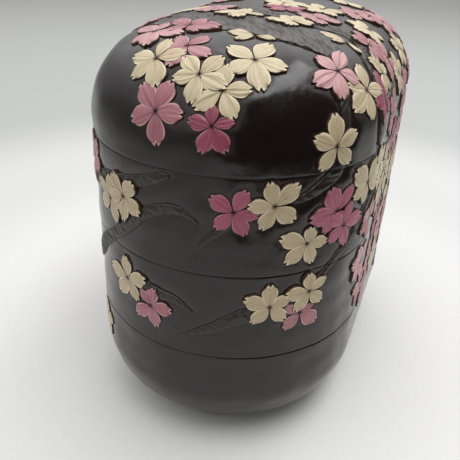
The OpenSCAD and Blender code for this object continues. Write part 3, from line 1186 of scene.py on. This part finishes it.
class CarvingSizes(PropertyGroup):
    """Sizes of the relief"""

    petal_height: length_property("Petal height", "Height of a petal's rim over the plain wall", 0.0003)
    petal_swell: length_property("Petal swell", "Rise of a petal's carved top over its rim", 0.00045)
    petal_root: length_property(
        "Petal root", "Depth to which petals and branches reach into the wall", 0.0013)
    # The slanted edge takes the umber, dark as painted shade round each petal
    petal_edge: length_property(
        "Petal edge", "Width and depth of the slanted brown edge round a petal", 0.00026)
    level_step: length_property("Level step", "Height from one layer of flowers to the next", 0.00038)
    hollow_depth: length_property(
        "Hollow depth", "Depth to which the ground is cut round the petals", 0.0003)
    hollow_reach: length_property(
        "Hollow reach", "Distance from a petal's rim at which the hollow is a third as deep", 0.0016, 0.0001)
    branch_hollow: length_property(
        "Branch hollow", "Depth to which the ground sinks beside a branch", 0.0003)
    branch_reach: length_property(
        "Branch reach", "Distance from a branch at which its hollow is a third as deep", 0.0024, 0.0001)
    dip_depth: length_property("Dip depth", "Depth of the wide soft dip round each flower", 0.0002)
    dip_reach: length_property(
        "Dip reach", "Distance from a petal's rim at which the dip is a third as deep", 0.006, 0.0001)
    ground_wave: length_property("Ground waves", "Height of the slow waves in the ground", 0.0002)
    branch_height: length_property("Branch height", "Height of a branch over the plain wall", 0.0005)
    gouge_depth: length_property("Gouge depth", "Depth of the cuts in the bark", 0.001)


class FinishColours(PropertyGroup):
    """Colours of the finishes"""

    lacquer: colour_property("Lacquer", "Lacquer of the ground", (0.0092, 0.0048, 0.0050))
    thin_lacquer: colour_property("Thin lacquer", "Lacquer where it lies thin", (0.022, 0.011, 0.008))
    # Darkest lacquer of the grooves: painted shade, with umber that gathers there
    groove_and_shade: colour_property(
        "Groove", "Lacquer in the grooves beside petals and branches", (0.007, 0.004, 0.003))
    bark: colour_property("Bark", "Scoops of the branches", (0.022, 0.018, 0.015))
    # Painted light from above, standing in for the grey sheen of the upturned scoops
    bark_lit_from_above: colour_property(
        "Worn bark", "Scoops of the branches where they face upwards", (0.078, 0.068, 0.060))
    # Painted shade along the ridges between the scoops
    bark_ridge_shade: colour_property("Bark ridges", "Dark ridges between the scoops", (0.014, 0.008, 0.005))
    inner: colour_property("Inner lacquer", "Lacquer of the inside", (0.110, 0.018, 0.012))
    inner_dark: colour_property("Inner lacquer, dark", "Darker patches of the inside", (0.070, 0.012, 0.009))
    # Brown of the petals' cut sides, creases, middles and worn spots: real umber, darkened as painted shade
    # on the sides, creases and middles
    umber: colour_property("Umber", "Brown round and between the petals", (0.085, 0.043, 0.023))
    # The deep colours also paint shade on the tiers' upright walls, through the deeper tints of the flowers
    # there
    cream: colour_property("Cream", "Light of the cream petals", (0.77, 0.67, 0.44))
    cream_deep: colour_property("Deep cream", "Deep of the cream petals", (0.52, 0.41, 0.255))
    pink: colour_property("Pink", "Light of the pink petals", (0.61, 0.33, 0.335))
    pink_deep: colour_property("Deep pink", "Deep of the pink petals", (0.38, 0.135, 0.165))
    rose: colour_property("Rose", "Light of the rose petals", (0.42, 0.108, 0.168))
    rose_deep: colour_property("Deep rose", "Deep of the rose petals", (0.27, 0.05, 0.085))


class StageSettings(PropertyGroup):
    """Floor, light and view"""

    # The floor's colours grow greyer away from the box: painted falloff of the light round it
    floor_colour: colour_property("Floor", "Paper that the box stands on", (0.80, 0.80, 0.785))
    middle_colour: colour_property("Middle floor", "Paper behind the box", (0.70, 0.70, 0.69))
    far_colour: colour_property("Far floor", "Paper far behind the box", (0.51, 0.52, 0.51))
    end_colour: colour_property("End of the floor", "Paper at its far end", (0.28, 0.28, 0.275))
    lamp_power: FloatProperty(
        name="Lamp power", description="Power of the soft panel overhead", default=8.5, min=0.0, unit="POWER")
    world_strength: FloatProperty(
        name="Room light", description="Strength of the light from the room", default=0.28, min=0.0)
    view_roll: FloatProperty(
        name="View roll", description="Turn of the camera about its view", default=math.radians(2.34),
        subtype="ANGLE")
    lens: FloatProperty(
        name="Lens", description="Focal length of the camera in millimetres", default=45.1, min=1.0)


# What several operators use, made once
WORK = {}

# Slot of the record for each colour of petal, and how the names of pieces call each body
PETAL_SLOTS = {"cream": "cream_lacquer", "pink": "pink_lacquer", "rose": "deep_pink_lacquer"}
BODY_NAMES = {"lower_tier": "lower", "middle_tier": "middle", "upper_tier": "upper", "lid": "lid"}


def shared(name, make):
    """Something that several operators use, made by the first of them"""
    if name not in WORK:
        WORK[name] = make()
    return WORK[name]


def all_petals():
    """Every petal, with its colour"""
    return shared("petals", lay_blossoms)


def all_branches():
    """Every branch"""
    return shared("branches", lambda: [Branch(marks, PHASE_STEP * k) for k, marks in enumerate(BRANCHES)])


def finishes(context):
    """Materials of the box by name"""
    def make():
        colours = context.scene.box_colours
        made = {
            "ground": ground_lacquer(colours),
            "bark": bark_lacquer(colours),
            "inner": inner_lacquer(colours),
            "umber": umber_edge(colours),
        }
        for name in PETAL_SLOTS:
            deep = getattr(colours, name + "_deep")
            made[name] = petal_paint(name + "_petals", getattr(colours, name), deep, colours)
        return made
    return shared("finishes", make)


class BOX_OT_carve_ground(Operator):
    """Carve the ground of the lid, the two walls and the bowl"""

    bl_idname = "box.carve_ground"
    bl_label = "Carve Ground"

    def execute(self, context):
        sizes = context.scene.box_sizes
        made = finishes(context)
        trees = near_marks(all_petals(), all_branches())
        ridges = branch_ridges(all_branches(), sizes)
        shells = (
            ("carved_lid", "lid", "lid", lid_rows()),
            ("carved_upper_wall", "upper_tier", "upper_wall", tier_rows(MIDDLE_RIM, UPPER_RIM)),
            ("carved_middle_wall", "middle_tier", "middle_wall", tier_rows(LOWER_RIM, MIDDLE_RIM)),
            ("carved_bowl", "lower_tier", "lower_bowl", bowl_rows()),
        )
        for name, body, node, rows in shells:
            carve_shell(name, body, node, rows, trees, ridges, sizes, (made["ground"], made["inner"]))
        return {"FINISHED"}


class BOX_OT_carve_branches(Operator):
    """Carve the branches of each body"""

    bl_idname = "box.carve_branches"
    bl_label = "Carve Branches"

    def execute(self, context):
        sizes = context.scene.box_sizes
        made = finishes(context)
        for body, (low, high) in SLICES.items():
            bm = bmesh.new()
            bm.verts.layers.float.new("cut")
            for branch in all_branches():
                if in_slice(branch.path[:, 2], low, high):
                    shape_branch(bm, branch, sizes)
            keep_slice(bm, body)
            if not bm.faces:
                bm.free()
                continue
            soften(bm, SHARP_BARK)
            piece(BODY_NAMES[body] + "_branches", bm, body, "dark_lacquer", (made["bark"],))
        return {"FINISHED"}


class BOX_OT_carve_blossoms(Operator):
    """Carve the flowers of each body, one piece for each colour"""

    bl_idname = "box.carve_blossoms"
    bl_label = "Carve Blossoms"

    def execute(self, context):
        sizes = context.scene.box_sizes
        made = finishes(context)
        pattern = petal_pattern()
        stations = pattern_stations(pattern)
        ridges = branch_ridges(all_branches(), sizes)
        shapes = {colour: [] for colour in PETAL_SLOTS}
        for colour, petal in all_petals():
            shapes[colour].append((petal, shape_petal(petal, stations, sizes, ridges)))
        for body, (low, high) in SLICES.items():
            for colour, slot in PETAL_SLOTS.items():
                held = [shape for shape in shapes[colour] if in_slice(shape[1][:, 2], low, high)]
                if not held:
                    continue
                bm = join_petals(pattern, stations, held)
                keep_slice(bm, body, 1)
                name = "{}_{}_petals".format(BODY_NAMES[body], colour)
                piece(name, bm, body, slot, (made[colour], made["umber"]))
        bpy.data.meshes.remove(pattern)
        return {"FINISHED"}


class BOX_OT_finish_inside(Operator):
    """Lacquer the lips and the floor boards"""

    bl_idname = "box.finish_inside"
    bl_label = "Lacquer Inside"

    def execute(self, context):
        made = finishes(context)
        for name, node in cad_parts.items():
            if name.endswith(("_lip", "_floor")):
                node.data.materials.clear()
                node.data.materials.append(made["inner"])
        return {"FINISHED"}


# Stage, in metres

# Camera of the photograph: its place and the point it looks at
CAMERA_PLACE = Vector((-0.3163, -0.0981, 0.2586))
CAMERA_AIM = Vector((-0.0531, -0.0016, 0.1000))
# Radius of the floor, and the distances from the box between which it turns to each greyer colour, a painted
# falloff of the light away from the box
FLOOR_RADIUS = 6.0
FLOOR_CHANGES = (
    ("middle_colour", 0.17, 0.28),
    ("far_colour", 0.33, 0.50),
    ("end_colour", 0.7, 2.0),
)
# Length, width and place of the soft panel overhead
PANEL_SIZE = (1.35, 0.55)
PANEL_PLACE = (0.02, -0.44, 1.3)
# Directions of the room's dark side, which the lacquer's front reflects, and of its bright far side
DARK_SIDE = (-0.5, -0.866, 0.0)
FAR_SIDE = (0.93, 0.29, 0.25)
# Light of the room towards a direction: the cosines between which it changes, and its share at each
ROOM_LIGHT = (
    ((0.0, 0.0, 1.0), 0.02, 0.72, 1.0, 4.0),
    (DARK_SIDE, 0.2, 0.85, 1.0, 0.1),
    (FAR_SIDE, 0.5, 0.9, 1.0, 1.45),
)
# Dark card on the dark side: its distance, the height of its middle, and its width and height
CARD_DISTANCE = 0.345
CARD_MIDDLE = 0.2
CARD_SIZE = (0.84, 1.0)


class BOX_OT_set_stage(Operator):
    """Set the floor, the light and the camera"""

    bl_idname = "box.set_stage"
    bl_label = "Set Stage"

    def execute(self, context):
        stage = context.scene.box_stage
        context.scene.view_settings.view_transform = "Standard"
        self.lay_floor(stage)
        self.hang_lamp(context, stage)
        self.stand_card()
        self.light_room(context, stage)
        self.place_camera(context, stage)
        return {"FINISHED"}

    def lay_floor(self, stage):
        """Round sheet of pale paper, painted greyer far from the box as a falloff of the light"""
        bm = bmesh.new()
        bmesh.ops.create_circle(bm, cap_ends=True, radius=FLOOR_RADIUS, segments=96)
        made = Finish("floor_paper")
        reach = made.add("ShaderNodeVectorMath", operation="LENGTH")
        made.feed(reach.inputs[0], made.place)
        colour = stage.floor_colour
        for name, near, far in FLOOR_CHANGES:
            colour = made.blend(made.span(reach.outputs["Value"], near, far), colour, getattr(stage, name))
        fibre = made.span(made.noise(0.004), 0.3, 0.7, 0.0, 0.06)
        paper = made.set(base_color=made.blend(fibre, colour, stage.far_colour), roughness=0.7)
        floor = new_object("floor", bm, (paper,))

    def hang_lamp(self, context, stage):
        """Wide soft panel overhead"""
        data = bpy.data.lights.new("overhead_panel", "AREA")
        data.shape = "RECTANGLE"
        data.size, data.size_y = PANEL_SIZE
        data.energy = stage.lamp_power
        lamp = bpy.data.objects.new("overhead_panel", data)
        lamp.location = PANEL_PLACE
        context.scene.collection.objects.link(lamp)

    def stand_card(self):
        """Upright dark card that shows only in the lacquer's reflections"""
        towards = Vector(DARK_SIDE).normalized()
        upright = Matrix((Vector((0, 0, 1)).cross(towards), (0, 0, 1), towards)).transposed().to_4x4()
        bm = bmesh.new()
        bmesh.ops.create_circle(bm, cap_ends=True, radius=0.5, segments=48)
        bmesh.ops.scale(bm, verts=bm.verts[:], vec=(*CARD_SIZE, 1))
        bmesh.ops.translate(bm, verts=bm.verts[:], vec=(0, CARD_MIDDLE, CARD_DISTANCE))
        bmesh.ops.transform(bm, verts=bm.verts[:], matrix=upright)
        made = Finish("dark_cloth")
        weave = made.span(made.noise(0.02), 0.3, 0.7)
        colour = made.blend(weave, (0.02, 0.02, 0.02), (0.035, 0.03, 0.03))
        card = new_object("dark_card", bm, (made.set(base_color=colour, roughness=0.9),))
        card.visible_camera = False
        card.visible_diffuse = False
        card.visible_shadow = False

    def light_room(self, context, stage):
        """Room that is brighter upwards and at the far side, and dark on the dark one"""
        world = bpy.data.worlds.new("room")
        world.use_nodes = True
        context.scene.world = world
        web = NodeWeb(world.node_tree, "Generated")
        glow = 1.0
        for direction, *bounds in ROOM_LIGHT:
            turn = web.add("ShaderNodeVectorMath", operation="DOT_PRODUCT")
            web.feed(turn.inputs[0], web.place)
            web.feed(turn.inputs[1], Vector(direction).normalized())
            glow = web.reckon("MULTIPLY", web.span(turn.outputs["Value"], *bounds), glow)
        background = web.nodes["Background"]
        web.feed(background.inputs["Color"], glow)
        web.feed(background.inputs["Strength"], stage.world_strength)
        backdrop = web.add("ShaderNodeBackground")
        web.feed(backdrop.inputs["Color"], opaque(stage.far_colour))
        choice = web.add("ShaderNodeMixShader")
        web.feed(choice.inputs[0], web.add("ShaderNodeLightPath").outputs["Is Camera Ray"])
        web.feed(choice.inputs[1], background.outputs[0])
        web.feed(choice.inputs[2], backdrop.outputs[0])
        web.feed(web.nodes["World Output"].inputs["Surface"], choice.outputs[0])

    def place_camera(self, context, stage):
        """Camera at the photograph's angle"""
        data = bpy.data.cameras.new("camera")
        data.lens = stage.lens
        data.clip_start = 0.01
        camera = bpy.data.objects.new("camera", data)
        camera.location = CAMERA_PLACE
        look = (CAMERA_AIM - CAMERA_PLACE).to_track_quat("-Z", "Y")
        camera.rotation_euler = (look @ Quaternion((0, 0, 1), stage.view_roll)).to_euler()
        context.scene.collection.objects.link(camera)
        context.scene.camera = camera


class BOX_PT_panel(Panel):
    """Sizes, colours and steps of the carved box"""

    bl_idname = "BOX_PT_panel"
    bl_label = "Carved Box"
    bl_space_type = "VIEW_3D"
    bl_region_type = "UI"
    bl_category = "Carved Box"

    def draw(self, context):
        layout = self.layout
        for title, name in (("Carving", "box_sizes"), ("Colours", "box_colours"), ("Stage", "box_stage")):
            group = getattr(context.scene, name)
            column = layout.column(align=True)
            column.label(text=title)
            for prop in group.bl_rna.properties:
                if not prop.is_readonly and prop.identifier != "name":
                    column.prop(group, prop.identifier)
        for step in STEPS:
            layout.operator(step.bl_idname)


STEPS = (
    BOX_OT_set_stage, BOX_OT_carve_ground, BOX_OT_carve_branches, BOX_OT_carve_blossoms, BOX_OT_finish_inside)
GROUPS = {"box_sizes": CarvingSizes, "box_colours": FinishColours, "box_stage": StageSettings}


def register():
    for group in GROUPS.values():
        bpy.utils.register_class(group)
    for step in STEPS:
        bpy.utils.register_class(step)
    bpy.utils.register_class(BOX_PT_panel)
    for name, group in GROUPS.items():
        setattr(bpy.types.Scene, name, PointerProperty(type=group))


def unregister():
    for name in GROUPS:
        delattr(bpy.types.Scene, name)
    bpy.utils.unregister_class(BOX_PT_panel)
    for step in reversed(STEPS):
        bpy.utils.unregister_class(step)
    for group in GROUPS.values():
        bpy.utils.unregister_class(group)


def main():
    register()
    bpy.ops.box.set_stage()
    bpy.ops.box.carve_ground()
    bpy.ops.box.carve_branches()
    bpy.ops.box.carve_blossoms()
    bpy.ops.box.finish_inside()


if __name__ == "__main__":
    main()
